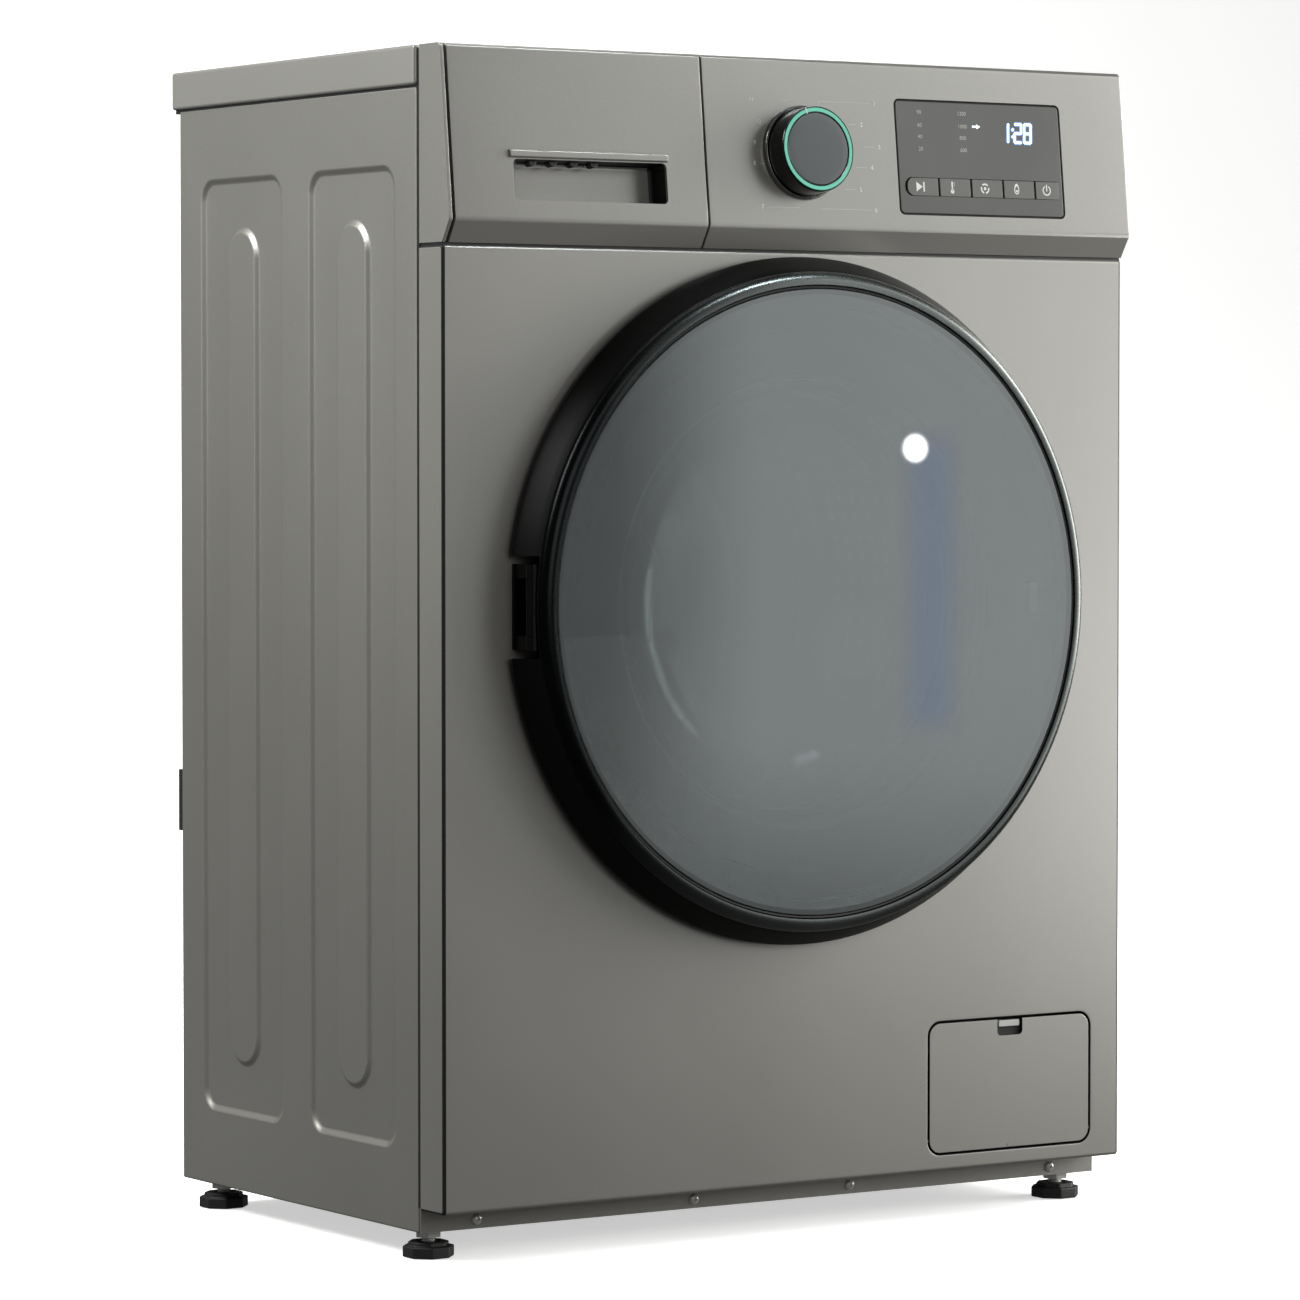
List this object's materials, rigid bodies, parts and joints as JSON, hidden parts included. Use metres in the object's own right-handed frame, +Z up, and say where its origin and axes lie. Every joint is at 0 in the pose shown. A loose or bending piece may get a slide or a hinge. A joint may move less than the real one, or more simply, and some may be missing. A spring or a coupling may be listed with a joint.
{
  "type": "front loading washing machine",
  "caption": "Front loading laundry washing machine with a sprung drum behind a round glass door, a detergent drawer, a dial and buttons, a drain flap and levelling feet.",
  "frame": {"origin": "centre of the bounding box's underside, on the floor between the feet", "axes": "+Z up, -Y out of the front panel towards the user, +X to the user's right"},
  "size_m": [0.6, 0.435, 0.85],
  "materials": {
    "cabinet_paint": "warm grey metallic paint, satin",
    "lid_paint": "warm grey, satin",
    "fascia_plastic": "warm grey metallic plastic",
    "smoked_glass": "smoked, glossy",
    "board": "circuit board",
    "black_gloss": "black, semi gloss",
    "ring_light": "teal, glossy",
    "white_plastic": "white moulding",
    "door_trim": "dark grey metallic plastic",
    "outer_glass": "tinted, polished",
    "bowl_glass": "clear, polished",
    "black_plastic": "black moulding",
    "hinge_black": "black painted steel",
    "seal_rubber": "grey rubber",
    "belt_rubber": "black rubber",
    "zinc_steel": "zinc plated",
    "stainless": "stainless sheet",
    "cast_aluminium": "cast",
    "motor_iron": "laminated steel body",
    "concrete": "cast concrete",
    "filter_plastic": "light grey moulding"
  },
  "bodies": {
    "cabinet": {"left_side_panel": "cabinet_paint", "right_side_panel": "cabinet_paint", "rear_panel": "cabinet_paint", "service_cover": "cabinet_paint", "cabinet_screws": "zinc_steel", "kick_rail": "cabinet_paint", "top_lid": "lid_paint", "front_panel": "cabinet_paint", "control_panel": "fascia_plastic", "display_window": "smoked_glass", "display_board": "board", "knob_bezel": "black_gloss", "dispenser_housing": "white_plastic", "inlet_valve": "white_plastic", "hinge_bracket": "hinge_black", "door_lock": "black_plastic", "door_seal": "seal_rubber", "suspension_springs": "zinc_steel", "dampers": "zinc_steel", "drain_pump": "black_plastic", "foot_nuts": "zinc_steel", "hose_clip": "black_plastic", "cord_gland": "black_plastic", "drain_outlet": "black_plastic", "transit_caps": "black_plastic"},
    "door": {"door_frame": "black_gloss", "door_trim_ring": "door_trim", "door_window": "outer_glass", "door_bowl": "bowl_glass", "door_inner_ring": "black_plastic", "hinge_arm": "hinge_black"},
    "latch": {"latch_hook": "zinc_steel"},
    "drawer": {"drawer_front": "fascia_plastic", "drawer_tray": "white_plastic"},
    "knob": {"program_knob": "black_gloss", "knob_ring": "ring_light"},
    "start": {"start_button": "smoked_glass"},
    "temperature": {"temperature_button": "smoked_glass"},
    "spin": {"spin_button": "smoked_glass"},
    "timer": {"timer_button": "smoked_glass"},
    "power": {"power_button": "smoked_glass"},
    "flap": {"drain_flap": "fascia_plastic"},
    "filter": {"pump_filter": "filter_plastic"},
    "tub": {"tub_front": "white_plastic", "tub_rear": "white_plastic", "counterweights": "concrete", "heater": "stainless", "motor": "motor_iron", "drive_belt": "belt_rubber", "shaft_bearings": "stainless"},
    "drum": {"drum_shell": "stainless", "drum_lifters": "white_plastic", "drum_spider": "cast_aluminium", "drum_shaft": "stainless", "drum_pulley": "cast_aluminium"},
    "rotor": {"motor_pulley": "zinc_steel"},
    "foot_fl": {"foot_front_left": "black_plastic"},
    "foot_fr": {"foot_front_right": "black_plastic"},
    "foot_rl": {"foot_rear_left": "black_plastic"},
    "foot_rr": {"foot_rear_right": "black_plastic"}
  },
  "joints": [
    {"name": "door_hinge", "type": "hinge", "parent": "cabinet", "child": "door", "pos_m": [-0.236, -0.1965, 0.459], "axis": [0, 0, -1], "range_deg": [0, 120]},
    {"name": "latch_pivot", "type": "hinge", "parent": "door", "child": "latch", "pos_m": [0.206, -0.1865, 0.459], "axis": [0, 0, 1], "range_deg": [0, 12], "stiffness_Nm_per_rad": 0.25},
    {"name": "drawer_slide", "type": "slide", "parent": "cabinet", "child": "drawer", "axis": [0, -1, 0], "range_m": [0, 0.165]},
    {"name": "knob_turn", "type": "hinge", "parent": "cabinet", "child": "knob", "pos_m": [0.0025, -0.18077, 0.7818], "axis": [0, -0.9944, 0.106], "continuous": true},
    {"name": "start_press", "type": "slide", "parent": "cabinet", "child": "start", "axis": [0, 0.9944, -0.106], "range_m": [0, 0.001], "stiffness_N_per_m": 900},
    {"name": "temperature_press", "type": "slide", "parent": "cabinet", "child": "temperature", "axis": [0, 0.9944, -0.106], "range_m": [0, 0.001], "stiffness_N_per_m": 900},
    {"name": "spin_press", "type": "slide", "parent": "cabinet", "child": "spin", "axis": [0, 0.9944, -0.106], "range_m": [0, 0.001], "stiffness_N_per_m": 900},
    {"name": "timer_press", "type": "slide", "parent": "cabinet", "child": "timer", "axis": [0, 0.9944, -0.106], "range_m": [0, 0.001], "stiffness_N_per_m": 900},
    {"name": "power_press", "type": "slide", "parent": "cabinet", "child": "power", "axis": [0, 0.9944, -0.106], "range_m": [0, 0.001], "stiffness_N_per_m": 900},
    {"name": "flap_hinge", "type": "hinge", "parent": "cabinet", "child": "flap", "pos_m": [0.1948, -0.1739, 0.0585], "axis": [1, 0, 0], "range_deg": [0, 95]},
    {"name": "filter_turn", "type": "hinge", "parent": "cabinet", "child": "filter", "pos_m": [0.1948, -0.1565, 0.0971], "axis": [0, -1, 0], "range_deg": [0, 90]},
    {"name": "tub_bounce", "type": "slide", "parent": "cabinet", "child": "tub", "axis": [0, 0, 1], "range_m": [-0.006, 0.006], "stiffness_N_per_m": 30000, "springref_m": 0.00794, "deforming": ["door_seal", "suspension_springs", "dampers"]},
    {"name": "drum_spin", "type": "hinge", "parent": "tub", "child": "drum", "pos_m": [0, 0.0235, 0.459], "axis": [0, 1, 0], "continuous": true},
    {"name": "motor_spin", "type": "hinge", "parent": "tub", "child": "rotor", "pos_m": [0.04, 0.1535, 0.118], "axis": [0, 1, 0], "continuous": true},
    {"name": "foot_fl_level", "type": "slide", "parent": "cabinet", "child": "foot_fl", "axis": [0, 0, 1], "range_m": [-0.012, 0]},
    {"name": "foot_fr_level", "type": "slide", "parent": "cabinet", "child": "foot_fr", "axis": [0, 0, 1], "range_m": [-0.012, 0]},
    {"name": "foot_rl_level", "type": "slide", "parent": "cabinet", "child": "foot_rl", "axis": [0, 0, 1], "range_m": [-0.012, 0]},
    {"name": "foot_rr_level", "type": "slide", "parent": "cabinet", "child": "foot_rr", "axis": [0, 0, 1], "range_m": [-0.012, 0]}
  ],
  "couplings": [
    {"joint": "motor_spin", "follows": "drum_spin", "ratio": 11.667}
  ]
}
